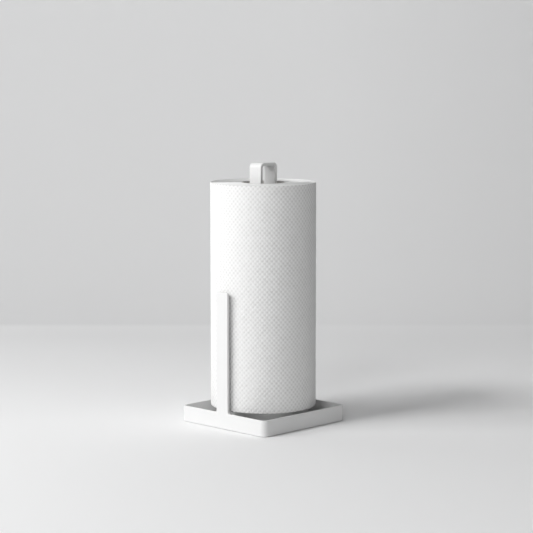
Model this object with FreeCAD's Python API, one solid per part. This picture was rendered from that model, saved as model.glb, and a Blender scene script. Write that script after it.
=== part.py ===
import FreeCAD, Part
import math
import os

os.makedirs("parts", exist_ok=True)

# Countertop holder for an upright roll of kitchen paper, standing on the plane z = 0.
# The origin is the middle of its square base on that plane, +Z is up, and the side arm
# stands on the -Y edge, which is called the front. All sizes are in millimetres.

# the roll that the holder is made for
roll_diameter = 109.0
roll_height = 230.0
core_bore = 43.0  # inside diameter of the cardboard tube
core_wall = 1.0
core_gap = 0.3  # between the tube and the first turn of paper
roll_gap = 0.3  # between the roll's lower end and the seat
paper_edge_radius = 1.6  # softness of the rolled edges

# flat steel bar of the centre post and of the side arm
bar_width = 16.0
bar_thickness = 3.0
bar_edge_radius = 0.4

# side arm
arm_gap = 2.5  # from the roll's side to the arm's inner face
arm_top = 140.0  # above the table
arm_corner_radius = 2.0
arm_foot_radius = 2.0  # hollow corners where the arm grows out of the rim

# base tray, a floor plate welded inside a wall of the same sheet
tray_sheet = 1.6
tray_depth = 15.2  # from the floor plate's underside to the rim
tray_corner_radius = 6.0
tray_seam_radius = 1.0  # hollow seam between the floor plate and the wall
wall_clearance = 0.4  # from the table to the wall's lower edge
wall_edge_radius = 0.5  # upper and lower edges of the wall
notch_sill = 0.8  # straight wall left under the arm's tongue

# centre post, a hairpin of flat bar
post_depth = 24.0  # over both legs
post_rise = 20.0  # above the roll
post_bend_radius = 2.0  # inside each bend

# hub that carries the post and centres the core
hub_clearance = 1.0  # around the hub, inside the core
hub_rise = 10.0  # above the seat
hub_edge_radius = 1.5
hub_shoulder = 5.5  # width of the step that bears on the seat
socket_depth = 8.0  # of the two pockets that take the post's legs

# seat under the roll, a pressed dish turned upside down
seat_inset = 22.0  # from the roll's side to the dish's side
seat_rise = 0.9  # above the tray's rim
seat_sheet = 1.2
seat_bend_radius = 2.0
spigot_clearance = 0.2  # around the hub's spigot, in the seat

# ballast between the tray's floor and the seat
ballast_thickness = 8.0
ballast_clearance = 1.0  # around the ballast, inside the seat

# countersunk socket screws that clamp tray, ballast and hub together
screw_count = 3
screw_diameter = 5.0
screw_head_diameter = 10.0
screw_key = 3.0  # across the flats of the hexagon socket
screw_key_depth = 2.0
screw_reach = 6.4  # length of thread inside the hub
screw_margin = 3.0  # metal between a screw's hole and the spigot's side
screw_hole_clearance = 0.25  # around the screw, in the tray and the ballast
thread_clearance = 0.05  # around the screw, in the hub
tap_runout = 1.0  # depth of hole past the screw's end

# rubber feet glued under the tray's corners
foot_height = 1.6
foot_diameter = 12.0
foot_inset = 14.0  # from the tray's sides to the foot's middle
foot_draft = 0.5  # how much narrower the foot's lower end is, on its radius

# levels above the table
tray_bottom = foot_height
tray_floor = tray_bottom + tray_sheet
rim_top = tray_bottom + tray_depth
seat_top = rim_top + seat_rise
roll_bottom = seat_top + roll_gap
roll_top = roll_bottom + roll_height
post_top = roll_top + post_rise
ballast_top = tray_floor + ballast_thickness
screw_head_top = tray_bottom + (screw_head_diameter - screw_diameter) / 2.0
hub_top = seat_top + hub_rise
socket_bottom = hub_top - socket_depth
screw_end = ballast_top + screw_reach
sill_top = tray_floor + tray_seam_radius + notch_sill

# plan sizes
tray_side = roll_diameter + 2.0 * (arm_gap + bar_thickness)
tongue_width = bar_width + 2.0 * arm_foot_radius
core_outside = core_bore + 2.0 * core_wall
paper_bore = core_outside + 2.0 * core_gap
hub_diameter = core_bore - 2.0 * hub_clearance
spigot_diameter = hub_diameter - 2.0 * hub_shoulder
seat_diameter = roll_diameter - 2.0 * seat_inset
ballast_diameter = seat_diameter - 2.0 * (seat_sheet + ballast_clearance)
screw_circle_radius = spigot_diameter / 2.0 - screw_margin - screw_diameter / 2.0
leg_centre = (post_depth - bar_thickness) / 2.0
foot_centre = tray_side / 2.0 - foot_inset

UP = FreeCAD.Vector(0, 0, 1)
FULL_TURN = 2.0 * math.pi
HEXAGON = 6
LEVEL_TOLERANCE = 0.01
ARC_MIDDLE = 1.0 - math.sqrt(0.5)  # how far a quarter arc's middle is inside its corner, in radii


def at(x, y, z):
    return FreeCAD.Vector(x, y, z)


def save(shape, node):
    shape.exportStep("parts/" + node + ".step")


def upright_edges(shape):
    found = []
    for edge in shape.Edges:
        box = edge.BoundBox
        if box.XLength < LEVEL_TOLERANCE and box.YLength < LEVEL_TOLERANCE:
            found.append(edge)
    return found


def edges_at_level(shape, level):
    found = []
    for edge in shape.Edges:
        box = edge.BoundBox
        if abs(box.ZMin - level) < LEVEL_TOLERANCE and abs(box.ZMax - level) < LEVEL_TOLERANCE:
            found.append(edge)
    return found


def rounded_block(side, corner_radius, bottom, top):
    """A square block with round upright corners."""
    block = Part.makeBox(side, side, top - bottom, at(-side / 2.0, -side / 2.0, bottom))
    return block.makeFillet(corner_radius, upright_edges(block))


def disc(diameter, bottom, top):
    return Part.makeCylinder(diameter / 2.0, top - bottom, at(0, 0, bottom), UP)


def screw_places():
    """Middles of the screws, spread around the post's axis."""
    places = []
    for index in range(screw_count):
        turn = (index + 0.25 * screw_count) * FULL_TURN / screw_count
        places.append((screw_circle_radius * math.cos(turn), screw_circle_radius * math.sin(turn)))
    return places


def screw_cone(x, y):
    """A 90 degree countersunk head, or the space for one, flush with the tray's underside."""
    face_radius = screw_head_diameter / 2.0
    neck_radius = screw_diameter / 2.0
    return Part.makeCone(face_radius, neck_radius, screw_head_top - tray_bottom, at(x, y, tray_bottom), UP)


def screw_shank(x, y, bottom, top, clearance):
    return Part.makeCylinder(screw_diameter / 2.0 + clearance, top - bottom, at(x, y, bottom), UP)


def make_tray():
    """Square wall around a floor plate that lies a little above the wall's lower edge."""
    tray = rounded_block(tray_side, tray_corner_radius, wall_clearance, rim_top)
    inside_side = tray_side - 2.0 * tray_sheet
    inside_corner = tray_corner_radius - tray_sheet
    above_rim = rim_top + tray_sheet
    pocket = rounded_block(inside_side, inside_corner, tray_floor, above_rim)
    tray = tray.cut(pocket.makeFillet(tray_seam_radius, edges_at_level(pocket, tray_floor)))
    tray = tray.cut(rounded_block(inside_side, inside_corner, 0.0, tray_bottom))
    for level in (rim_top, wall_clearance):
        tray = tray.makeFillet(wall_edge_radius, edges_at_level(tray, level))
    notch_corner = at(-tongue_width / 2.0, -tray_side / 2.0 - tray_sheet, sill_top)
    tray = tray.cut(Part.makeBox(tongue_width, 2.0 * tray_sheet, above_rim - sill_top, notch_corner))
    for x, y in screw_places():
        tray = tray.cut(screw_cone(x, y))
        tray = tray.cut(screw_shank(x, y, tray_bottom, tray_floor, screw_hole_clearance))
    return tray


def make_side_arm():
    """Blade of flat bar whose wider tongue fills the notch in the tray's wall."""
    half = bar_width / 2.0
    tongue = tongue_width / 2.0
    front = -tray_side / 2.0
    knee = arm_foot_radius * ARC_MIDDLE
    shoulder = arm_corner_radius * ARC_MIDDLE
    crown = half - arm_corner_radius
    neck = rim_top + arm_foot_radius
    cheek = arm_top - arm_corner_radius

    def p(x, z):
        return at(x, front, z)

    edges = [
        Part.makeLine(p(-tongue, sill_top), p(tongue, sill_top)),
        Part.makeLine(p(tongue, sill_top), p(tongue, rim_top)),
        Part.Arc(p(tongue, rim_top), p(half + knee, rim_top + knee), p(half, neck)).toShape(),
        Part.makeLine(p(half, neck), p(half, cheek)),
        Part.Arc(p(half, cheek), p(half - shoulder, arm_top - shoulder), p(crown, arm_top)).toShape(),
        Part.makeLine(p(crown, arm_top), p(-crown, arm_top)),
        Part.Arc(p(-crown, arm_top), p(shoulder - half, arm_top - shoulder), p(-half, cheek)).toShape(),
        Part.makeLine(p(-half, cheek), p(-half, neck)),
        Part.Arc(p(-half, neck), p(-half - knee, rim_top + knee), p(-tongue, rim_top)).toShape(),
        Part.makeLine(p(-tongue, rim_top), p(-tongue, sill_top)),
    ]
    arm = Part.Face(Part.Wire(edges)).extrude(at(0, bar_thickness, 0))
    return arm.makeFillet(bar_edge_radius, edges_at_level(arm, arm_top))


def hairpin_face(depth, top, bottom, bend_radius):
    """Outline of an upside-down U, filled, in the plane x = -bar_width / 2."""
    half = depth / 2.0
    x = -bar_width / 2.0
    ease = bend_radius * ARC_MIDDLE
    edges = [
        Part.makeLine(at(x, -half, bottom), at(x, -half, top - bend_radius)),
        Part.Arc(
            at(x, -half, top - bend_radius),
            at(x, ease - half, top - ease),
            at(x, bend_radius - half, top),
        ).toShape(),
        Part.makeLine(at(x, bend_radius - half, top), at(x, half - bend_radius, top)),
        Part.Arc(
            at(x, half - bend_radius, top),
            at(x, half - ease, top - ease),
            at(x, half, top - bend_radius),
        ).toShape(),
        Part.makeLine(at(x, half, top - bend_radius), at(x, half, bottom)),
        Part.makeLine(at(x, half, bottom), at(x, -half, bottom)),
    ]
    return Part.Face(Part.Wire(edges))


def make_post_loop():
    across = at(bar_width, 0, 0)
    outside = hairpin_face(post_depth, post_top, socket_bottom, post_bend_radius + bar_thickness)
    gap = post_depth - 2.0 * bar_thickness
    inside = hairpin_face(gap, post_top - bar_thickness, socket_bottom, post_bend_radius)
    loop = outside.extrude(across).cut(inside.extrude(across))
    long_edges = []
    for edge in loop.Edges:
        box = edge.BoundBox
        if box.XLength < bar_edge_radius and box.ZLength > post_bend_radius:
            long_edges.append(edge)
    return loop.makeFillet(bar_edge_radius, long_edges)


def make_post_hub():
    """Round hub: a flange on the seat, and a spigot through it down to the ballast."""
    flange = disc(hub_diameter, seat_top, hub_top)
    flange = flange.makeFillet(hub_edge_radius, edges_at_level(flange, hub_top))
    hub = flange.fuse(disc(spigot_diameter, ballast_top, seat_top)).removeSplitter()
    for side in (-1.0, 1.0):
        corner = at(-bar_width / 2.0, side * leg_centre - bar_thickness / 2.0, socket_bottom)
        hub = hub.cut(Part.makeBox(bar_width, bar_thickness, socket_depth, corner))
    for x, y in screw_places():
        hub = hub.cut(screw_shank(x, y, ballast_top, screw_end + tap_runout, thread_clearance))
    return hub


def make_roll_seat():
    """Upside-down dish that stands on the tray's floor by its skirt."""
    shell = disc(seat_diameter, tray_floor, seat_top)
    shell = shell.makeFillet(seat_bend_radius, edges_at_level(shell, seat_top))
    hollow = disc(seat_diameter - 2.0 * seat_sheet, tray_floor, seat_top - seat_sheet)
    hollow_top = edges_at_level(hollow, seat_top - seat_sheet)
    shell = shell.cut(hollow.makeFillet(seat_bend_radius - seat_sheet, hollow_top))
    return shell.cut(disc(spigot_diameter + 2.0 * spigot_clearance, tray_floor, seat_top))


def make_ballast_disc():
    ballast = disc(ballast_diameter, tray_floor, ballast_top)
    for x, y in screw_places():
        ballast = ballast.cut(screw_cone(x, y))
        ballast = ballast.cut(screw_shank(x, y, tray_floor, ballast_top, screw_hole_clearance))
    return ballast


def make_base_screw(x, y):
    screw = screw_cone(x, y).fuse(screw_shank(x, y, screw_head_top, screw_end, 0.0)).removeSplitter()
    corner_radius = screw_key / 2.0 / math.cos(FULL_TURN / HEXAGON / 2.0)
    corners = []
    for index in range(HEXAGON + 1):
        turn = index * FULL_TURN / HEXAGON
        corner_x = x + corner_radius * math.cos(turn)
        corners.append(at(corner_x, y + corner_radius * math.sin(turn), tray_bottom))
    socket = Part.Face(Part.makePolygon(corners)).extrude(at(0, 0, screw_key_depth))
    return screw.cut(socket)


def make_rubber_foot(x, y):
    upper_radius = foot_diameter / 2.0
    return Part.makeCone(upper_radius - foot_draft, upper_radius, foot_height, at(x, y, 0), UP)


def make_cardboard_core():
    return disc(core_outside, roll_bottom, roll_top).cut(disc(core_bore, roll_bottom, roll_top))


def make_paper_roll():
    roll = disc(roll_diameter, roll_bottom, roll_top)
    ends = edges_at_level(roll, roll_bottom) + edges_at_level(roll, roll_top)
    roll = roll.makeFillet(paper_edge_radius, ends)
    return roll.cut(disc(paper_bore, roll_bottom, roll_top))


save(make_tray(), "tray")
save(make_side_arm(), "side_arm")
save(make_post_loop(), "post_loop")
save(make_post_hub(), "post_hub")
save(make_roll_seat(), "roll_seat")
save(make_ballast_disc(), "ballast_disc")
for number, (screw_x, screw_y) in enumerate(screw_places(), start=1):
    save(make_base_screw(screw_x, screw_y), "base_screw_" + str(number))
for depth_name, y_side in (("front", -1.0), ("back", 1.0)):
    for width_name, x_side in (("left", -1.0), ("right", 1.0)):
        foot = make_rubber_foot(x_side * foot_centre, y_side * foot_centre)
        save(foot, "rubber_foot_" + depth_name + "_" + width_name)
save(make_cardboard_core(), "cardboard_core")
save(make_paper_roll(), "paper_roll")
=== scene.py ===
import math

import bmesh
import bpy
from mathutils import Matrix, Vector


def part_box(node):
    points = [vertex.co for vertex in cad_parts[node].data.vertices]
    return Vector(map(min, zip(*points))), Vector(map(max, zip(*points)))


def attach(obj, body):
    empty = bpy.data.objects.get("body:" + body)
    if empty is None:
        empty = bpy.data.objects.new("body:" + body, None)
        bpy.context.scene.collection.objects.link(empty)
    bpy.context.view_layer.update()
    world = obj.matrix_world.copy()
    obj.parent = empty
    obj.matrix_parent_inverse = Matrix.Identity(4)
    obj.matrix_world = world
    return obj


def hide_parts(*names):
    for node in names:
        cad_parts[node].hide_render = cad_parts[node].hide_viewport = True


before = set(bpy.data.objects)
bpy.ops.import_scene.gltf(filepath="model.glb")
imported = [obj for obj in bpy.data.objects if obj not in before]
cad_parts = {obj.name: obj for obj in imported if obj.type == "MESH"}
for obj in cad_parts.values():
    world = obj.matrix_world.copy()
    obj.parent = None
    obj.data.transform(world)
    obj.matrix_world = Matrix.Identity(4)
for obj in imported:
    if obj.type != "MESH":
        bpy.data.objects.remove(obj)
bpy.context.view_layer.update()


# ----------------------------------------------------------------------
# Base tray. A band of 1.6 mm steel bent into a square and welded round a floor plate that
# lies a little above its lower edge, with a notch in the front for the side arm and three
# countersunk holes in the plate. Like all the steel that shows, it is powder coated white.
# ----------------------------------------------------------------------
class Signal:
    """A socket of a node tree. Sums and products of signals add Math nodes."""

    def __init__(self, tree, socket=None):
        self.tree = tree
        self.socket = socket

    def node(self, kind, settings=None, sockets=None, output=0):
        """Adds a node: first its settings, then the values or links of its sockets."""
        made = self.tree.nodes.new(kind)
        for name, value in (settings or {}).items():
            setattr(made, name, value)
        for key, value in (sockets or {}).items():
            if isinstance(value, Signal):
                self.tree.links.new(value.socket, made.inputs[key])
            else:
                made.inputs[key].default_value = value
        return Signal(self.tree, made.outputs[output] if made.outputs else None)

    def math(self, operation, first, second=None):
        sockets = {0: first}
        if second is not None:
            sockets[1] = second
        return self.node("ShaderNodeMath", {"operation": operation}, sockets)

    def __add__(self, other):
        return self.math("ADD", self, other)

    def __radd__(self, other):
        return self.math("ADD", other, self)

    def __sub__(self, other):
        return self.math("SUBTRACT", self, other)

    def __rsub__(self, other):
        return self.math("SUBTRACT", other, self)

    def __mul__(self, other):
        return self.math("MULTIPLY", self, other)

    def __rmul__(self, other):
        return self.math("MULTIPLY", other, self)

    def __truediv__(self, other):
        return self.math("DIVIDE", self, other)

    def __rtruediv__(self, other):
        return self.math("DIVIDE", other, self)


def start_material(name):
    """An empty material, the signal that its nodes start from, and the object's coordinates."""
    material = bpy.data.materials.new(name)
    material.use_nodes = True
    material.node_tree.nodes.clear()
    start = Signal(material.node_tree)
    place = start.node("ShaderNodeTexCoord", output="Object")
    return material, start, place


def close_material(start, shader):
    start.node("ShaderNodeOutputMaterial", sockets={"Surface": shader})


def noise(start, place, scale, detail):
    return start.node("ShaderNodeTexNoise", sockets={"Vector": place, "Scale": scale, "Detail": detail})


def blend(start, share, first, second, mode="MIX"):
    """A colour between two others; each of the three may be a value or a signal."""
    settings = {"data_type": "RGBA", "blend_type": mode}
    sockets = {"Factor": share, "A": first, "B": second}
    return start.node("ShaderNodeMix", settings, sockets, output=2)


def powder_coat_material():
    """White polyester powder: satin, with the faint orange peel of the melted grains."""
    material, start, place = start_material("white_powder_coat")
    grains = noise(start, place, 1100.0, 3.0)
    peel = noise(start, place, 260.0, 2.0)
    clouds = noise(start, place, 14.0, 3.0)
    tone = blend(start, clouds, (0.775, 0.777, 0.775, 1.0), (0.806, 0.807, 0.805, 1.0))
    relief = start.node(
        "ShaderNodeBump",
        sockets={"Height": peel * 0.7 + grains * 0.3, "Strength": 0.18, "Distance": 0.00012},
    )
    coat = start.node(
        "ShaderNodeBsdfPrincipled",
        sockets={
            "Base Color": tone,
            "Roughness": 0.40 + 0.16 * grains,
            "Specular IOR Level": 0.42,
            "Normal": relief,
        },
    )
    close_material(start, coat)
    return material


powder_coat = powder_coat_material()


def shade(shape, sharp_above):
    """Smooth faces, with the edges that are bent by more than an angle in degrees kept sharp."""
    for edge in shape.edges:
        edge.smooth = not edge.is_manifold or edge.calc_face_angle() < math.radians(sharp_above)
    for face in shape.faces:
        face.smooth = True


def make_piece(name, points, faces, material, sharp_above=40.0):
    """A mesh object in the shared frame, faces outwards, smooth but for its sharp edges."""
    mesh = bpy.data.meshes.new(name)
    mesh.from_pydata(points, [], faces)
    shape = bmesh.new()
    shape.from_mesh(mesh)
    if shape.calc_volume(signed=True) < 0:
        bmesh.ops.reverse_faces(shape, faces=shape.faces)
    shade(shape, sharp_above)
    shape.to_mesh(mesh)
    shape.free()
    mesh.materials.append(material)
    piece = bpy.data.objects.new(name, mesh)
    bpy.context.scene.collection.objects.link(piece)
    return piece


def settle(piece):
    """Turns what a piece's modifiers make into its own plain mesh."""
    graph = bpy.context.evaluated_depsgraph_get()
    mesh = bpy.data.meshes.new_from_object(piece.evaluated_get(graph))
    piece.modifiers.clear()
    piece.data = mesh
    return piece


def even_shading(piece):
    """Keeps flat faces flat where they run into a rounded edge."""
    weigh = piece.modifiers.new("even_shading", "WEIGHTED_NORMAL")
    weigh.keep_sharp = True
    return settle(piece)


def quarter(centre, radius, start_degrees, turn_degrees, steps):
    """Points of an arc in a plane, from its start angle through its turn."""
    points = []
    for step in range(steps + 1):
        angle = math.radians(start_degrees + turn_degrees * step / steps)
        points.append((centre[0] + radius * math.cos(angle), centre[1] + radius * math.sin(angle)))
    return points


def rings_to_faces(ring_count, ring_size):
    """Faces between neighbouring rings of points, with the first and last ring filled."""
    faces = [list(range(ring_size))]
    for ring in range(ring_count - 1):
        for step in range(ring_size):
            beside = (step + 1) % ring_size
            low = ring * ring_size
            high = low + ring_size
            faces.append([low + beside, low + step, high + step, high + beside])
    faces.append(list(reversed(range((ring_count - 1) * ring_size, ring_count * ring_size))))
    return faces


tray_low, tray_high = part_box("tray")
tray_half = tray_high.x
tray_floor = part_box("roll_seat")[0].z
screw_names = ["base_screw_1", "base_screw_2", "base_screw_3"]
plate_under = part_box(screw_names[0])[0].z
tray_sheet = tray_floor - plate_under
tray_corner = 0.006
tray_seam = 0.001  # hollow seam between the floor plate and the wall
wall_round = 0.0005
cone_tip = 0.0001
arm_low, arm_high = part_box("side_arm")


def box_middle(node):
    low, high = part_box(node)
    return (low + high) / 2.0


def tray_section():
    """Half of the tray's section, as insets from its outer side and levels, from below to the floor."""
    outer = wall_round
    inner = tray_sheet - wall_round
    low = tray_low.z + wall_round
    rim = tray_high.z - wall_round
    section = [(tray_sheet, plate_under)]
    section += quarter((inner, low), wall_round, 0.0, -90.0, 4)
    section += quarter((outer, low), wall_round, 270.0, -90.0, 4)
    section += quarter((outer, rim), wall_round, 180.0, -90.0, 4)
    section += quarter((inner, rim), wall_round, 90.0, -90.0, 4)
    section += quarter((tray_sheet + tray_seam, tray_floor + tray_seam), tray_seam, 180.0, 90.0, 6)
    return section


def square_ring(half, corner_radius, level, steps=14):
    """Points round a square with round corners, seen from above."""
    points = []
    for number, (side_x, side_y) in enumerate([(1, 1), (-1, 1), (-1, -1), (1, -1)]):
        centre = (side_x * (half - corner_radius), side_y * (half - corner_radius))
        for x, y in quarter(centre, corner_radius, 90.0 * number, 90.0, steps):
            points.append((x, y, level))
    return points


def tray_cutter():
    """The arm's notch and the screws' countersinks, as one solid to take away."""
    shape = bmesh.new()
    notch = bmesh.ops.create_cube(shape, size=1.0)["verts"]
    notch_low = Vector((arm_low.x, -tray_half - tray_sheet, arm_low.z))
    notch_high = Vector((arm_high.x, -tray_half + 2.0 * tray_sheet, tray_high.z + tray_sheet))
    for corner in notch:
        for axis in range(3):
            corner.co[axis] = notch_low[axis] if corner.co[axis] < 0 else notch_high[axis]
    for screw in screw_names:
        low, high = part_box(screw)
        middle = box_middle(screw)
        head_radius = (high.x - low.x) / 2.0
        cone = bmesh.ops.create_cone(
            shape,
            cap_ends=True,
            segments=48,
            radius1=2.0 * head_radius,
            radius2=cone_tip,
            depth=2.0 * head_radius,
        )["verts"]
        for corner in cone:
            corner.co += Vector((middle.x, middle.y, plate_under))
    mesh = bpy.data.meshes.new("tray_cutter")
    shape.to_mesh(mesh)
    shape.free()
    cutter = bpy.data.objects.new("tray_cutter", mesh)
    bpy.context.scene.collection.objects.link(cutter)
    return cutter


def make_tray():
    section = tray_section()
    points = []
    for inset, level in section:
        points += square_ring(tray_half - inset, tray_corner - inset, level)
    ring_size = len(points) // len(section)
    tray = make_piece("tray_shell", points, rings_to_faces(len(section), ring_size), powder_coat)
    cutter = tray_cutter()
    cut = tray.modifiers.new("notch", "BOOLEAN")
    cut.operation = "DIFFERENCE"
    cut.solver = "EXACT"
    cut.object = cutter
    settle(tray)
    bpy.data.objects.remove(cutter)
    return even_shading(tray)


tray = make_tray()
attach(tray, "holder")
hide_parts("tray")


# ----------------------------------------------------------------------
# Side arm. A blade cut from 3 mm flat bar, standing on the front edge of the tray beside
# the roll. Its wider tongue is welded into the notch in the wall and ground flush, so the
# blade grows out of the wall with no seam, only a small hollow corner on each side.
# ----------------------------------------------------------------------
blade_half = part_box("post_loop")[1].x
arm_corner = 0.002
bar_edge = 0.0004


def arm_outline():
    """Points round the blade seen from the front, from one end of its tongue to the other."""
    tongue = arm_high.x
    foot = tongue - blade_half
    right = [(tongue, arm_low.z)]
    right += quarter((tongue, tray_high.z + foot), foot, 270.0, -90.0, 8)
    right += quarter((blade_half - arm_corner, arm_high.z - arm_corner), arm_corner, 0.0, 90.0, 8)
    return right + [(-x, z) for x, z in reversed(right)]


def make_side_arm():
    outline = arm_outline()
    count = len(outline)
    points = [(x, arm_low.y, z) for x, z in outline] + [(x, arm_high.y, z) for x, z in outline]
    arm = make_piece("side_arm_blade", points, rings_to_faces(2, count), powder_coat)
    weight = arm.data.attributes.new("bevel_weight_edge", "FLOAT", "EDGE")
    for edge in arm.data.edges:
        first, second = (arm.data.vertices[corner].co for corner in edge.vertices)
        along_outline = abs(first.y - second.y) < bar_edge
        above_rim = min(first.z, second.z) > tray_high.z - bar_edge
        weight.data[edge.index].value = 1.0 if along_outline and above_rim else 0.0
    bevel = arm.modifiers.new("soft_edges", "BEVEL")
    bevel.limit_method = "WEIGHT"
    bevel.width = bar_edge
    bevel.segments = 3
    settle(arm)
    return even_shading(arm)


side_arm = make_side_arm()
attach(side_arm, "holder")
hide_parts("side_arm")


# ----------------------------------------------------------------------
# Centre post. One length of 16 by 3 mm flat bar, bent over a former into an upside-down U,
# so that fingers can go through the loop to carry the holder. Both legs are welded into
# the hub below; the long edges are eased before coating.
# ----------------------------------------------------------------------
loop_low, loop_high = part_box("post_loop")
bar_thickness = arm_high.y - arm_low.y
post_bend = 0.002  # inside each bend


def bar_section(width, thickness, edge):
    """Points round the flat bar's section, across its width and through its thickness."""
    points = []
    for number, (side_x, side_y) in enumerate([(1, 1), (-1, 1), (-1, -1), (1, -1)]):
        centre = (side_x * (width / 2.0 - edge), side_y * (thickness / 2.0 - edge))
        points += quarter(centre, edge, 90.0 * number, 90.0, 3)
    return points


def hairpin_line(steps=14):
    """The bar's middle line in the plane x = 0: places (y, z) and the angle that faces outwards."""
    middle = loop_high.y - bar_thickness / 2.0
    bend = post_bend + bar_thickness / 2.0
    top = loop_high.z - bar_thickness / 2.0
    line = [(middle, loop_low.z, 0.0)]
    for step in range(steps + 1):
        turn = math.pi / 2.0 * step / steps
        line.append((middle - bend + bend * math.cos(turn), top - bend + bend * math.sin(turn), turn))
    return line + [(-y, z, math.pi - turn) for y, z, turn in reversed(line)]


def make_post_loop():
    section = bar_section(loop_high.x - loop_low.x, bar_thickness, bar_edge)
    points = []
    line = hairpin_line()
    for y, z, turn in line:
        for across, out in section:
            points.append((across, y + out * math.cos(turn), z + out * math.sin(turn)))
    faces = rings_to_faces(len(line), len(section))
    return even_shading(make_piece("post_hairpin", points, faces, powder_coat))


post_loop = make_post_loop()
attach(post_loop, "holder")
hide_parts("post_loop")


# ----------------------------------------------------------------------
# Post hub. A turned steel boss that carries the post and centres the cardboard core; its
# flange rests on the seat and its spigot goes through the seat to the ballast. It hides
# inside the roll and shows only when the roll is lifted off.
# ----------------------------------------------------------------------
hub_low, hub_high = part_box("post_hub")
seat_low, seat_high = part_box("roll_seat")
hub_shoulder = 0.0055
hub_round = 0.0015


def circle(radius, level, steps):
    """Points of a level circle round the z axis."""
    angles = [2.0 * math.pi * step / steps for step in range(steps)]
    return [(radius * math.cos(angle), radius * math.sin(angle), level) for angle in angles]


def sleeve_faces(ring_count, ring_size):
    """Faces between rings of points whose last ring joins the first, so that a bore stays open."""
    faces = rings_to_faces(ring_count, ring_size)[1:-1]
    last = (ring_count - 1) * ring_size
    for step in range(ring_size):
        beside = (step + 1) % ring_size
        faces.append([last + beside, last + step, step, beside])
    return faces


def turned(name, section, material, steps=128, bored=True):
    """A body of revolution round the z axis, from points (radius, level) of its section."""
    points = []
    for radius, level in section:
        points += circle(radius, level, steps)
    find_faces = sleeve_faces if bored else rings_to_faces
    return even_shading(make_piece(name, points, find_faces(len(section), steps), material))


def make_post_hub():
    flange = hub_high.x
    spigot = flange - hub_shoulder
    section = [(spigot, hub_low.z), (spigot, seat_high.z), (flange, seat_high.z)]
    section += quarter((flange - hub_round, hub_high.z - hub_round), hub_round, 0.0, 90.0, 6)
    return turned("post_hub_turned", section, powder_coat, bored=False)


post_hub = make_post_hub()
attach(post_hub, "holder")
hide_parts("post_hub")


# ----------------------------------------------------------------------
# Weld beads. A small fillet of weld metal runs round each leg of the post where it enters
# the hub, rippled by the welder's steps and covered by the same white powder.
# ----------------------------------------------------------------------
def start_shape_tree(name, inputs):
    """A geometry tree with named inputs; returns the tree, its start and its inputs as signals."""
    tree = bpy.data.node_groups.new(name, "GeometryNodeTree")
    tree.interface.new_socket("Geometry", in_out="INPUT", socket_type="NodeSocketGeometry")
    for label, (kind, _) in inputs.items():
        tree.interface.new_socket(label, in_out="INPUT", socket_type="NodeSocket" + kind)
    tree.interface.new_socket("Geometry", in_out="OUTPUT", socket_type="NodeSocketGeometry")
    entry = tree.nodes.new("NodeGroupInput")
    given = {label: Signal(tree, entry.outputs[label]) for label in ["Geometry", *inputs]}
    return tree, Signal(tree), given


def close_shape_tree(start, shape, material):
    """Ends a geometry tree: real geometry only, smooth, in its material."""
    real = start.node("GeometryNodeRealizeInstances", sockets={0: shape})
    smooth = start.node("GeometryNodeSetShadeSmooth", sockets={0: real})
    coated = start.node("GeometryNodeSetMaterial", sockets={0: smooth, "Material": material})
    start.node("NodeGroupOutput", sockets={0: coated})


def grow(name, tree, inputs, points=()):
    """Runs a geometry tree on loose points and keeps the result as a plain mesh object."""
    seed_mesh = bpy.data.meshes.new(name)
    seed_mesh.from_pydata([tuple(point) for point in points], [], [])
    piece = bpy.data.objects.new(name, seed_mesh)
    bpy.context.scene.collection.objects.link(piece)
    growth = piece.modifiers.new("growth", "NODES")
    growth.node_group = tree
    entries = [item for item in tree.interface.items_tree if item.in_out == "INPUT"]
    sockets = {item.name: item.identifier for item in entries}
    for label, (_, value) in inputs.items():
        growth[sockets[label]] = value
    return settle(piece)


def weld_bead_tree(inputs):
    tree, start, given = start_shape_tree("weld_bead", inputs)
    outline = start.node(
        "GeometryNodeCurvePrimitiveQuadrilateral",
        sockets={"Width": given["Bar width"], "Height": given["Bar thickness"]},
    )
    eased = start.node(
        "GeometryNodeFilletCurve",
        {"mode": "POLY"},
        {"Curve": outline, "Radius": given["Bead radius"], "Count": 4},
    )
    spacing = given["Bead radius"] * 0.25
    fine = start.node(
        "GeometryNodeResampleCurve", {"mode": "LENGTH"}, {"Curve": eased, "Length": spacing}
    )
    along = start.node("GeometryNodeSplineParameter", output="Length")
    ripple = start.math("SINE", along / given["Ripple pitch"] * (2.0 * math.pi))
    grooved = start.node(
        "GeometryNodeSetCurveRadius", sockets={"Curve": fine, "Radius": 1.0 + given["Ripple"] * ripple}
    )
    ring = start.node(
        "GeometryNodeCurvePrimitiveCircle", sockets={"Resolution": 12, "Radius": given["Bead radius"]}
    )
    bead = start.node("GeometryNodeCurveToMesh", sockets={"Curve": grooved, "Profile Curve": ring})
    spread = start.node(
        "GeometryNodeInstanceOnPoints", sockets={"Points": given["Geometry"], "Instance": bead}
    )
    close_shape_tree(start, spread, powder_coat)
    return tree


bead_radius = 0.0011
ripple_pitch = 0.0014
ripple_height = 0.12  # as a share of the bead's radius
weld_bead_sizes = {
    "Bar width": ("Float", loop_high.x - loop_low.x),
    "Bar thickness": ("Float", bar_thickness),
    "Bead radius": ("Float", bead_radius),
    "Ripple pitch": ("Float", ripple_pitch),
    "Ripple": ("Float", ripple_height),
}
leg_middle = loop_high.y - bar_thickness / 2.0
leg_feet = [(0.0, side * leg_middle, hub_high.z) for side in (-1.0, 1.0)]
weld_beads = grow("post_weld_beads", weld_bead_tree(weld_bead_sizes), weld_bead_sizes, leg_feet)
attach(weld_beads, "holder")


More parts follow.
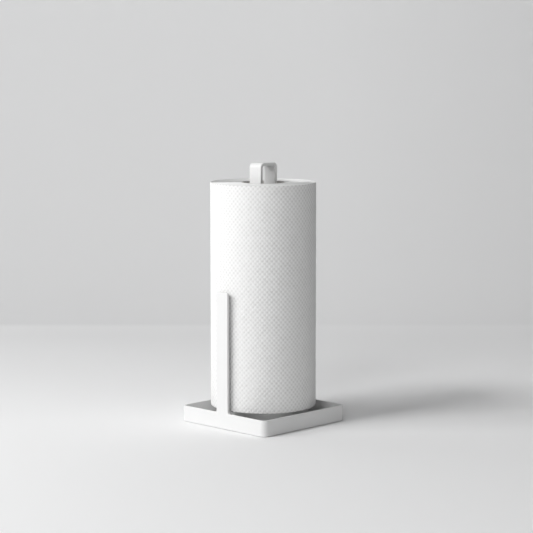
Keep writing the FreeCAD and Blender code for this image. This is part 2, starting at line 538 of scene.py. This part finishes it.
# ----------------------------------------------------------------------
# Roll seat. A round dish pressed from thin steel sheet and fitted upside down over the
# ballast, standing on the tray's floor by its skirt. Its flat top carries the roll just
# above the level of the rim, so that the roll turns clear of the walls.
# ----------------------------------------------------------------------
seat_sheet = 0.0012
seat_bend = 0.002
spigot_gap = 0.0002


def make_roll_seat():
    outside = seat_high.x
    inside = outside - seat_sheet
    under = seat_high.z - seat_sheet
    hole = hub_high.x - hub_shoulder + spigot_gap
    section = [(inside, seat_low.z), (outside, seat_low.z)]
    bend_centre = (outside - seat_bend, seat_high.z - seat_bend)
    section += quarter(bend_centre, seat_bend, 0.0, 90.0, 8)
    section += [(hole, seat_high.z), (hole, under)]
    section += quarter(bend_centre, seat_bend - seat_sheet, 90.0, -90.0, 6)
    return turned("roll_seat_dish", section, powder_coat)


roll_seat = make_roll_seat()
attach(roll_seat, "holder")
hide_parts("roll_seat")


# ----------------------------------------------------------------------
# Ballast. A plain disc sawn and faced from mild steel bar, with three countersunk holes,
# shut in between the tray and the seat, where it keeps a full roll from tipping over. It
# is left bare, with the fine circular marks of the lathe.
# ----------------------------------------------------------------------
def level_part(start, place):
    """A place brought down to the plane z = 0."""
    plane = (1.0, 1.0, 0.0)
    return start.node("ShaderNodeVectorMath", {"operation": "MULTIPLY"}, {0: place, 1: plane})


def axis_distance(start, place):
    flat = level_part(start, place)
    return start.node("ShaderNodeVectorMath", {"operation": "LENGTH"}, {0: flat}, output="Value")


def turned_steel_material(name, tone, mark_pitch, roughness):
    """Bare steel with fine concentric tool marks round the z axis."""
    material, start, place = start_material(name)
    radius = axis_distance(start, place)
    marks = start.math("SINE", radius * (2.0 * math.pi / mark_pitch))
    stain = noise(start, place, 60.0, 4.0)
    dark = tuple(0.8 * part for part in tone)
    colour = blend(start, stain, (*dark, 1.0), (*tone, 1.0))
    grooves = start.node("ShaderNodeBump", sockets={"Height": marks, "Strength": 0.2, "Distance": 0.00003})
    steel = start.node(
        "ShaderNodeBsdfPrincipled",
        sockets={
            "Base Color": colour,
            "Metallic": 1.0,
            "Roughness": roughness + 0.15 * stain,
            "Normal": grooves,
        },
    )
    close_material(start, steel)
    return material


def coat_node(node, material):
    """Gives a piece that stays as the design made it its finish."""
    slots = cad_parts[node].material_slots
    for slot in slots:
        slot.material = material


disc_steel = turned_steel_material("bare_steel", (0.50, 0.50, 0.51), mark_pitch=0.0004, roughness=0.35)
coat_node("ballast_disc", disc_steel)


# ----------------------------------------------------------------------
# Base screws. Three M5 countersunk socket screws, zinc plated, driven from below through
# the tray and the ballast into the hub. Their heads lie flush with the underside of the
# floor plate, each with a hexagon socket.
# ----------------------------------------------------------------------
def repeat_tree(inputs, material):
    """Sets the same pattern piece down at each point that the tree is given."""
    tree, start, given = start_shape_tree("repeat_piece", inputs)
    pattern = start.node(
        "GeometryNodeObjectInfo",
        {"transform_space": "ORIGINAL"},
        {"Object": given["Pattern"]},
        output="Geometry",
    )
    radius = given["Radius"]
    size = start.node("ShaderNodeCombineXYZ", sockets={"X": radius, "Y": radius, "Z": given["Height"]})
    spread = start.node(
        "GeometryNodeInstanceOnPoints",
        sockets={"Points": given["Geometry"], "Instance": pattern, "Scale": size},
    )
    close_shape_tree(start, spread, material)
    return tree


def sharpen(piece, sharp_above):
    """Marks the sharp edges of a piece that a tree has made."""
    shape = bmesh.new()
    shape.from_mesh(piece.data)
    shade(shape, sharp_above)
    shape.to_mesh(piece.data)
    shape.free()
    return piece


def repeat_piece(name, pattern, radius, height, material, points, sharp_above=35.0):
    """One plain mesh of a pattern piece, made in units of its own radius and height, at each point."""
    sizes = {
        "Pattern": ("Object", pattern),
        "Radius": ("Float", radius),
        "Height": ("Float", height),
    }
    piece = grow(name, repeat_tree(sizes, material), sizes, points)
    bpy.data.objects.remove(pattern)
    return sharpen(piece, sharp_above)


def zinc_material():
    """Bright zinc plating with a faint bluish cast and a little dulling."""
    material, start, place = start_material("zinc_plate")
    bloom = noise(start, place, 500.0, 3.0)
    colour = blend(start, bloom, (0.56, 0.58, 0.61, 1.0), (0.72, 0.73, 0.75, 1.0))
    zinc = start.node(
        "ShaderNodeBsdfPrincipled",
        sockets={"Base Color": colour, "Metallic": 1.0, "Roughness": 0.22 + 0.25 * bloom},
    )
    close_material(start, zinc)
    return material


screw_low, screw_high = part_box(screw_names[0])
screw_length = screw_high.z - screw_low.z
screw_head_radius = (screw_high.x - screw_low.x) / 2.0
socket_share = 0.3464  # socket corner over head radius
shank_share = 0.5
socket_sides = 6
socket_depth = 0.002
tip_start = 0.96  # where the shank's end begins to taper, as a share of the length
tip_share = 0.8


def screw_pattern(steps=24):
    """A screw in units of its head radius and its length, standing on its head's face."""
    head_height = (1.0 - shank_share) * screw_head_radius / screw_length
    rings = [
        (socket_share, socket_depth / screw_length, socket_sides),
        (socket_share, 0.0, socket_sides),
        (1.0, 0.0, steps),
        (shank_share, head_height, steps),
        (shank_share, tip_start, steps),
        (shank_share * tip_share, 1.0, steps),
    ]
    points = []
    starts = []
    for radius, level, count in rings:
        starts.append(len(points))
        points += circle(radius, level, count)
    share = steps // socket_sides
    faces = [list(range(socket_sides))]
    for step in range(socket_sides):
        beside = (step + 1) % socket_sides
        faces.append([step, starts[1] + step, starts[1] + beside, beside])
        outer = [starts[2] + (share * step + part) % steps for part in range(share + 1)]
        faces.append([starts[1] + beside, starts[1] + step, *outer])
    for ring in (2, 3, 4):
        for step in range(steps):
            beside = (step + 1) % steps
            low = starts[ring]
            high = starts[ring + 1]
            faces.append([low + beside, low + step, high + step, high + beside])
    faces.append([starts[5] + step for step in reversed(range(steps))])
    return make_piece("screw_pattern", points, faces, powder_coat)


screw_points = [Vector((box_middle(name).x, box_middle(name).y, screw_low.z)) for name in screw_names]
base_screws = repeat_piece(
    "base_screws_zinc", screw_pattern(), screw_head_radius, screw_length, zinc_material(), screw_points
)
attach(base_screws, "holder")
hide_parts(*screw_names)


# ----------------------------------------------------------------------
# Rubber feet. Four thin round pads of black rubber, glued under the tray's corners. They
# hold the walls a little above the table and keep the holder from sliding when a sheet is
# pulled. The lower edge is drafted and rounded by the mould.
# ----------------------------------------------------------------------
def rubber_material():
    """Matt moulded rubber with fine dust in its pores."""
    material, start, place = start_material("black_rubber")
    pores = noise(start, place, 900.0, 4.0)
    colour = blend(start, pores, (0.018, 0.018, 0.019, 1.0), (0.045, 0.044, 0.043, 1.0))
    relief = start.node("ShaderNodeBump", sockets={"Height": pores, "Strength": 0.4, "Distance": 0.00008})
    rubber = start.node(
        "ShaderNodeBsdfPrincipled",
        sockets={"Base Color": colour, "Roughness": 0.65 + 0.25 * pores, "Normal": relief},
    )
    close_material(start, rubber)
    return material


foot_names = [f"rubber_foot_{depth}_{width}" for depth in ("front", "back") for width in ("left", "right")]
foot_low, foot_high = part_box(foot_names[0])
foot_radius = (foot_high.x - foot_low.x) / 2.0
foot_height = foot_high.z - foot_low.z
foot_cup = 0.70  # this and the next sizes are shares of the foot's radius and height
foot_cup_depth = 0.10
foot_tread_inside = 0.76
foot_tread_outside = 0.86
foot_round = 0.90
foot_round_level = 0.05
foot_draft = 0.08
foot_draft_level = 0.18


def foot_pattern(steps=40):
    """A foot in units of its radius and its height, with a shallow cup in its lower face."""
    section = [(foot_cup, foot_cup_depth), (foot_tread_inside, 0.0), (foot_tread_outside, 0.0)]
    section += [(foot_round, foot_round_level), (1.0 - foot_draft, foot_draft_level), (1.0, 1.0)]
    points = []
    for radius, level in section:
        points += circle(radius, level, steps)
    return make_piece("foot_pattern", points, rings_to_faces(len(section), steps), powder_coat)


foot_points = [Vector((box_middle(name).x, box_middle(name).y, foot_low.z)) for name in foot_names]
rubber_feet = repeat_piece(
    "rubber_feet_moulded", foot_pattern(), foot_radius, foot_height, rubber_material(), foot_points
)
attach(rubber_feet, "holder")
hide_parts(*foot_names)


# ----------------------------------------------------------------------
# Cardboard core. A tube wound from grey board in a helix, each turn of the strip lapping
# a little over the one before, which leaves a shallow spiral step inside and outside. The
# ends are cut square with the paper.
# ----------------------------------------------------------------------
core_low, core_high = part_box("cardboard_core")
core_bore = 0.0215  # inside radius
core_lap = 0.00018  # height of the step where one turn of the strip laps the next
core_strip = 0.062  # climb of the strip in one turn


def board_material():
    """Pale grey recycled board with darker fibres."""
    material, start, place = start_material("grey_board")
    stretch = start.node("ShaderNodeMapping", sockets={"Vector": place, "Scale": (1.0, 1.0, 0.25)})
    fibres = noise(start, stretch, 900.0, 5.0)
    flecks = start.node("ShaderNodeTexVoronoi", sockets={"Vector": place, "Scale": 420.0})
    share = fibres * (0.4 + flecks)
    colour = blend(start, share, (0.60, 0.59, 0.57, 1.0), (0.76, 0.75, 0.73, 1.0))
    relief = start.node("ShaderNodeBump", sockets={"Height": fibres, "Strength": 0.5, "Distance": 0.0001})
    board = start.node(
        "ShaderNodeBsdfPrincipled",
        sockets={"Base Color": colour, "Roughness": 0.82 + 0.12 * fibres, "Normal": relief},
    )
    close_material(start, board)
    return material


def make_core(steps=96, rows=92):
    """Inner and outer wall as one closed sleeve."""
    outside = core_high.x - core_lap
    levels = [core_low.z + (core_high.z - core_low.z) * row / rows for row in range(rows + 1)]
    section = [(outside, level) for level in levels]
    section += [(core_bore, level) for level in reversed(levels)]
    points = []
    for radius, level in section:
        for step in range(steps):
            turn = step / steps
            lap = core_lap * ((level / core_strip + turn) % 1.0)
            angle = 2.0 * math.pi * turn
            points.append(((radius + lap) * math.cos(angle), (radius + lap) * math.sin(angle), level))
    return make_piece("core_tube", points, sleeve_faces(len(section), steps), board_material())


core_tube = make_core()
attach(core_tube, "core")
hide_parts("cardboard_core")


# ----------------------------------------------------------------------
# Wound paper. The long web of embossed tissue, wound on the core in one spiral from the
# core outwards, its turns a little uneven at both ends of the roll. Only the ends show:
# the last sheets, made below, lie over it.
# ----------------------------------------------------------------------
roll_low, roll_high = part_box("paper_roll")
roll_radius = roll_high.x
turn_step = 0.00045  # one embossed layer
web_gap = 0.0003  # between the core and the first turn
layers_outside = 3.3  # room for the outer sheets and their dots, in turns of the web
web_share = 0.8  # thickness of the pressed web in its turn
edge_ease = 0.45  # rounding of the web's edges over its thickness
turn_corners = 84
unlike_turns = 900.0  # how fast the unevenness changes from one turn to the next


def tissue_material(name):
    """Bleached two-ply tissue: dull and faintly mottled, with painted shade in the pits between the
    embossed dots.
    """
    material, start, place = start_material(name)
    fibres = noise(start, place, 1500.0, 4.0)
    mottle = noise(start, place, 220.0, 3.0)
    share = mottle * 0.6 + fibres * 0.4
    raised = blend(start, share, (0.850, 0.851, 0.847, 1.0), (0.896, 0.897, 0.894, 1.0))
    # Painted shade: the pits between the embossed dots are coloured darker, as if shaded.
    pressed = start.node("ShaderNodeAttribute", {"attribute_name": "pressed"}, output="Fac")
    colour = blend(start, pressed, raised, (0.67, 0.668, 0.662, 1.0))
    relief = start.node("ShaderNodeBump", sockets={"Height": fibres, "Strength": 0.35, "Distance": 0.00006})
    tissue = start.node(
        "ShaderNodeBsdfPrincipled",
        sockets={
            "Base Color": colour,
            "Roughness": 0.86 + 0.1 * mottle,
            "Specular IOR Level": 0.25,
            "Normal": relief,
        },
    )
    close_material(start, tissue)
    return material


tissue = tissue_material("white_tissue")


def winding_tree(inputs):
    """A thin strip on edge, swept along a spiral, with its edges a little out of line."""
    tree, start, given = start_shape_tree("wound_web", inputs)
    spiral = start.node(
        "GeometryNodeCurveSpiral",
        sockets={
            "Resolution": turn_corners,
            "Rotations": given["Turns"],
            "Start Radius": given["Inner radius"],
            "End Radius": given["Outer radius"],
            "Height": 0.0,
        },
    )
    strip = start.node(
        "GeometryNodeCurvePrimitiveQuadrilateral",
        sockets={"Width": given["Web thickness"], "Height": given["Web height"]},
    )
    eased = start.node(
        "GeometryNodeFilletCurve",
        {"mode": "POLY"},
        {"Curve": strip, "Radius": given["Web thickness"] * edge_ease, "Count": 1},
    )
    web = start.node(
        "GeometryNodeCurveToMesh", sockets={"Curve": spiral, "Profile Curve": eased, "Fill Caps": True}
    )
    place = start.node("GeometryNodeInputPosition")
    uneven = start.node(
        "ShaderNodeTexNoise",
        {"noise_dimensions": "4D"},
        {
            "Vector": level_part(start, place),
            "W": axis_distance(start, place) * unlike_turns,
            "Scale": 30.0,
        },
    )
    sway = start.node("ShaderNodeCombineXYZ", sockets={"Z": (uneven - 0.5) * given["Edge sway"]})
    moved = start.node("GeometryNodeSetPosition", sockets={"Geometry": web, "Offset": sway})
    lifted = start.node(
        "GeometryNodeTransform",
        sockets={
            "Geometry": moved,
            "Translation": start.node("ShaderNodeCombineXYZ", sockets={"Z": given["Middle level"]}),
        },
    )
    close_shape_tree(start, lifted, tissue)
    return tree


wound_outside = roll_radius - layers_outside * turn_step
wound_inside = core_high.x + web_gap + turn_step / 2.0
edge_sway = 0.0003
winding_sizes = {
    "Turns": ("Float", round((wound_outside - wound_inside) / turn_step)),
    "Inner radius": ("Float", wound_inside),
    "Outer radius": ("Float", wound_outside),
    "Web thickness": ("Float", web_share * turn_step),
    "Web height": ("Float", roll_high.z - roll_low.z - edge_sway),
    "Edge sway": ("Float", edge_sway),
    "Middle level": ("Float", (roll_high.z + roll_low.z) / 2.0),
}
wound_paper = grow("paper_wound_web", winding_tree(winding_sizes), winding_sizes)
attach(wound_paper, "paper")


# ----------------------------------------------------------------------
# Outer sheets. The last sheet of the web and the one before it, torn apart only by use:
# a line of perforation joins them at the back. Both are embossed all over with raised
# dots in staggered rows, and the free end of the last sheet lies loose on the roll.
# ----------------------------------------------------------------------
one_turn = 2.0 * math.pi * roll_radius
dots_per_turn = 72
dot_pitch = one_turn / dots_per_turn
row_pitch = 0.00516
emboss_depth = 0.00042
sheet_length = 0.228
sheet_thickness = 0.00022
samples_per_dot = 6
end_round = 0.0012  # height over which the rolled ends curve in
end_pull = 0.0006  # how far they curve in
end_rows = 4
tail_turn = math.radians(150.0)  # where the free end lies, from +X towards +Y
curl_length = 0.012
curl_lift = 0.0008
slack_depth = 0.0003
just_before = 0.1  # a sheet's corners are counted from this angle before its start
level_share = 0.0001  # corners this near in height, as a share of the sheet, are level
sheet_sharp_above = 50.0


def embossed_sheet_tree(inputs):
    """A sheet bent round the roll on its spiral, with a grid of raised dots embossed into it and a mask of
    the pits between them for painted shade.
    """
    tree, start, given = start_shape_tree("embossed_sheet", inputs)
    grid = start.node(
        "GeometryNodeMeshGrid",
        sockets={
            "Size X": 1.0,
            "Size Y": 1.0,
            "Vertices X": given["Columns"],
            "Vertices Y": given["Rows"],
        },
    )
    place = start.node("GeometryNodeInputPosition")
    across = start.node("ShaderNodeSeparateXYZ", sockets={0: place}, output="X")
    upwards = start.node("ShaderNodeSeparateXYZ", sockets={0: place}, output="Y")
    web = given["Web start"] + (across + 0.5) * given["Length"]
    row = (upwards + 0.5) * (given["Rows"] - 1.0)
    inner_rows = given["Rows"] - 1.0 - 2.0 * given["End rows"]
    end_step = given["End height"] / given["End rows"]
    low_rows = start.math("MINIMUM", row, given["End rows"])
    high_rows = start.math("MAXIMUM", row - inner_rows - given["End rows"], 0.0)
    middle_rows = row - low_rows - high_rows
    middle_step = (given["Height"] - 2.0 * given["End height"]) / inner_rows
    height = (low_rows + high_rows) * end_step + middle_rows * middle_step
    to_end = 1.0 - start.math("MINIMUM", height, given["Height"] - height) / given["End height"]
    end_part = start.math("MINIMUM", start.math("MAXIMUM", to_end, 0.0), 1.0)
    pulled_in = 1.0 - start.math("SQRT", 1.0 - end_part * end_part)
    across_wave = start.math("COSINE", web * (2.0 * math.pi / given["Dot pitch"]))
    upwards_wave = start.math("COSINE", height * (2.0 * math.pi / given["Row pitch"]))
    lattice = across_wave * upwards_wave
    dots = start.math("POWER", (lattice + 1.0) * 0.5, 2.0)
    # Painted shade: a mask of the pits between the dots, stored so that the tissue colours them darker.
    pressed = start.math("POWER", (1.0 - lattice) * 0.5, 2.0)
    turn = web / given["Outer radius"]
    spiral = given["Outer radius"] - given["Turn step"] * turn * (0.5 / math.pi)
    curl = start.math("MAXIMUM", 1.0 - web / given["Curl length"], 0.0)
    flat_place = start.node("ShaderNodeCombineXYZ", sockets={"X": web, "Y": height, "Z": 0.0})
    slack = noise(start, flat_place, 26.0, 1.0)
    wear = noise(start, flat_place, 150.0, 1.0)
    radius = (
        spiral
        + dots * (0.5 + wear) * given["Emboss depth"]
        + curl * curl * given["Curl lift"]
        + (slack - 0.5) * given["Slack"]
        - pulled_in * given["End pull"]
    )
    angle = given["Tail turn"] + turn
    bent = start.node(
        "ShaderNodeCombineXYZ",
        sockets={
            "X": radius * start.math("COSINE", angle),
            "Y": radius * start.math("SINE", angle),
            "Z": given["Foot level"] + height,
        },
    )
    marked = start.node(
        "GeometryNodeStoreNamedAttribute",
        {"data_type": "FLOAT", "domain": "POINT"},
        {"Geometry": grid, "Name": "pressed", "Value": pressed * (0.5 + wear)},
    )
    moved = start.node("GeometryNodeSetPosition", sockets={"Geometry": marked, "Position": bent})
    close_shape_tree(start, moved, tissue)
    return tree


def close_sheet(sheet, thickness, start_turn):
    """Gives a bent sheet its edges and its hidden back, so that it is one closed solid."""
    shape = bmesh.new()
    shape.from_mesh(sheet.data)
    border = [edge for edge in shape.edges if edge.is_boundary]
    made = bmesh.ops.extrude_edge_only(shape, edges=border)["geom"]
    back = [item for item in made if isinstance(item, bmesh.types.BMVert)]

    def turn_of(corner):
        return (math.atan2(corner.co.y, corner.co.x) - start_turn) % (2.0 * math.pi)

    for corner in back:
        radius = math.hypot(corner.co.x, corner.co.y)
        share = (radius - thickness) / radius
        corner.co.x *= share
        corner.co.y *= share
    bottom = min(corner.co.z for corner in back)
    top = max(corner.co.z for corner in back)
    tolerance = (top - bottom) * level_share
    low = sorted((corner for corner in back if corner.co.z < bottom + tolerance), key=turn_of)
    high = sorted((corner for corner in back if corner.co.z > top - tolerance), key=turn_of)
    middle = [corner for corner in back if bottom + tolerance <= corner.co.z <= top - tolerance]
    half_turn = (turn_of(low[0]) + turn_of(low[-1])) / 2.0
    first = sorted((c for c in middle if turn_of(c) < half_turn), key=lambda c: c.co.z)
    last = sorted((c for c in middle if turn_of(c) >= half_turn), key=lambda c: c.co.z)
    for column in range(len(low) - 1):
        ring = [low[column + 1], low[column]]
        if column == 0:
            ring += first
        ring += [high[column], high[column + 1]]
        if column == len(low) - 2:
            ring += reversed(last)
        shape.faces.new(ring)
    bmesh.ops.recalc_face_normals(shape, faces=shape.faces)
    shade(shape, sheet_sharp_above)
    shape.to_mesh(sheet.data)
    shape.free()


def make_sheet(name, web_start, length):
    sheet_height = roll_high.z - roll_low.z
    sizes = {
        "Length": ("Float", length),
        "Height": ("Float", sheet_height),
        "Foot level": ("Float", roll_low.z),
        "Outer radius": ("Float", roll_radius - emboss_depth),
        "Turn step": ("Float", turn_step),
        "Web start": ("Float", web_start),
        "Tail turn": ("Float", tail_turn),
        "Dot pitch": ("Float", dot_pitch),
        "Row pitch": ("Float", row_pitch),
        "Emboss depth": ("Float", emboss_depth),
        "Curl length": ("Float", curl_length),
        "Curl lift": ("Float", curl_lift),
        "Slack": ("Float", slack_depth),
        "End height": ("Float", end_round),
        "End pull": ("Float", end_pull),
        "End rows": ("Int", end_rows),
        "Columns": ("Int", 1 + round(length / dot_pitch * samples_per_dot)),
        "Rows": ("Int", 1 + round(sheet_height / row_pitch * samples_per_dot)),
    }
    sheet = grow(name, embossed_sheet_tree(sizes), sizes)
    close_sheet(sheet, sheet_thickness, tail_turn + web_start / roll_radius - just_before)
    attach(sheet, "paper")


perforation_gap = 0.00025
under_lap = 0.03  # how far the second sheet runs on under the free end
second_start = sheet_length + perforation_gap
make_sheet("paper_last_sheet", 0.0, sheet_length)
make_sheet("paper_second_sheet", second_start, one_turn + under_lap - second_start)
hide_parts("paper_roll")


# ----------------------------------------------------------------------
# Studio. A pale paper sweep that rises behind the table into the wall, a broad soft light
# high on the left, a smaller one low beside it, a weak one near the camera and a faint one
# from the right, and a long lens a little above the object.
# ----------------------------------------------------------------------
camera_azimuth = math.radians(44.4)
camera_distance = 1.905
camera_height = 0.396
camera_pitch = math.radians(7.03)
camera_aside = 0.0032  # how far right of the post's axis the lens points
camera_lens = 126.26
to_camera = Vector((math.sin(camera_azimuth), -math.cos(camera_azimuth), 0.0))
to_right = Vector((math.cos(camera_azimuth), math.sin(camera_azimuth), 0.0))


def make_camera():
    settings = bpy.data.cameras.new("camera")
    settings.lens = camera_lens
    settings.sensor_width = 36.0
    camera = bpy.data.objects.new("camera", settings)
    bpy.context.scene.collection.objects.link(camera)
    camera.location = to_camera * camera_distance + Vector((0.0, 0.0, camera_height))
    aim_height = camera_height - camera_distance * math.tan(camera_pitch)
    aim = to_right * camera_aside + Vector((0.0, 0.0, aim_height))
    camera.rotation_euler = (aim - camera.location).to_track_quat("-Z", "Y").to_euler()
    bpy.context.scene.camera = camera


sweep_depth = 0.55  # from the object back to the foot of the rise
sweep_radius = 0.45
sweep_height = 3.4
sweep_half_width = 4.0
sweep_front = 3.5
painted_shade_rise = 0.006  # height by which the rising paper has its full painted shade
painted_shade_at_foot = 0.6  # share of that painted shade that the table has at the foot of the rise
painted_light_start = -0.4  # painted light: the wall gets paler from here to the right
painted_light_width = 0.5


def along_axis(start, place, axis):
    return start.node(
        "ShaderNodeVectorMath", {"operation": "DOT_PRODUCT"}, {0: place, 1: axis}, output="Value"
    )


def limited(start, share):
    """A share kept between nought and one."""
    return start.math("MINIMUM", start.math("MAXIMUM", share, 0.0), 1.0)


def sweep_material():
    """Matt background paper with painted light and shade: painted darker where it turns up and on the table
    towards the rise, and paler to the right; seen from behind it lets the eye through.
    """
    material, start, place = start_material("background_paper")
    level = start.node("ShaderNodeSeparateXYZ", sockets={0: place}, output="Z")
    # Painted light: the wall is painted darker on the left and paler towards the right.
    painted_light_share = limited(start, (along_axis(start, place, to_right) - painted_light_start) / painted_light_width)
    wall = blend(start, painted_light_share, (0.69, 0.692, 0.695, 1.0), (0.81, 0.812, 0.815, 1.0))
    # Painted shade: the rise is painted darker than the table, and the table darker towards the foot of the
    # rise.
    risen = limited(start, level / painted_shade_rise)
    away = limited(start, along_axis(start, place, -to_camera) / sweep_depth)
    painted_shade_share = start.math("MAXIMUM", risen, away * painted_shade_at_foot)
    grey = blend(start, painted_shade_share, (0.9, 0.902, 0.904, 1.0), wall)
    grain = noise(start, place, 3.0, 2.0)
    colour = blend(start, grain * 0.03, grey, (0.9, 0.9, 0.9, 1.0), "MULTIPLY")
    paper = start.node("ShaderNodeBsdfPrincipled", sockets={"Base Color": colour, "Roughness": 0.95})
    behind = start.node("ShaderNodeNewGeometry", output="Backfacing")
    nothing = start.node("ShaderNodeBsdfTransparent")
    one_sided = start.node("ShaderNodeMixShader", sockets={0: behind, 1: paper, 2: nothing})
    close_material(start, one_sided)
    return material


def make_sweep():
    profile = [(sweep_front, 0.0)]
    for along, level in quarter((sweep_depth, sweep_radius), sweep_radius, 270.0, 90.0, 24):
        profile.append((-along, level))
    profile.append((-sweep_depth - sweep_radius, sweep_height))
    points = []
    for toward, level in profile:
        for side in (-1.0, 1.0):
            flat = to_camera * toward + to_right * (side * sweep_half_width)
            points.append((flat.x, flat.y, level))
    faces = [[2 * row, 2 * row + 1, 2 * row + 3, 2 * row + 2] for row in range(len(profile) - 1)]
    mesh = bpy.data.meshes.new("sweep")
    mesh.from_pydata(points, [], faces)
    for face in mesh.polygons:
        face.use_smooth = True
    mesh.materials.append(sweep_material())
    sweep = bpy.data.objects.new("sweep", mesh)
    bpy.context.scene.collection.objects.link(sweep)


light_aim_height = 0.13


def soft_light(name, azimuth, distance, height, width, depth, power):
    """A soft box aimed at the roll; an azimuth of zero is the camera's, and left is negative."""
    lamp = bpy.data.lights.new(name, "AREA")
    lamp.shape = "RECTANGLE"
    lamp.size = width
    lamp.size_y = depth
    lamp.energy = power
    light = bpy.data.objects.new(name, lamp)
    bpy.context.scene.collection.objects.link(light)
    turn = math.radians(azimuth)
    flat = to_right * math.sin(turn) + to_camera * math.cos(turn)
    light.location = flat * distance + Vector((0.0, 0.0, height))
    aim = Vector((0.0, 0.0, light_aim_height))
    light.rotation_euler = (aim - light.location).to_track_quat("-Z", "Y").to_euler()


def make_world(strength):
    world = bpy.data.worlds.new("studio_air")
    world.use_nodes = True
    backdrop = world.node_tree.nodes["Background"]
    backdrop.inputs["Color"].default_value = (1.0, 1.0, 1.0, 1.0)
    backdrop.inputs["Strength"].default_value = strength
    bpy.context.scene.world = world


make_camera()
make_sweep()
soft_light("key", azimuth=-58.0, distance=3.0, height=2.95, width=1.2, depth=0.95, power=84.0)
soft_light("side_window", azimuth=-80.0, distance=1.6, height=0.8, width=0.5, depth=0.5, power=10.0)
soft_light("front_fill", azimuth=-20.0, distance=2.4, height=1.6, width=1.0, depth=1.0, power=19.0)
soft_light("right_bounce", azimuth=46.0, distance=2.0, height=0.35, width=0.6, depth=0.6, power=2.8)
make_world(strength=0.01)
bpy.context.scene.view_settings.view_transform = "Standard"
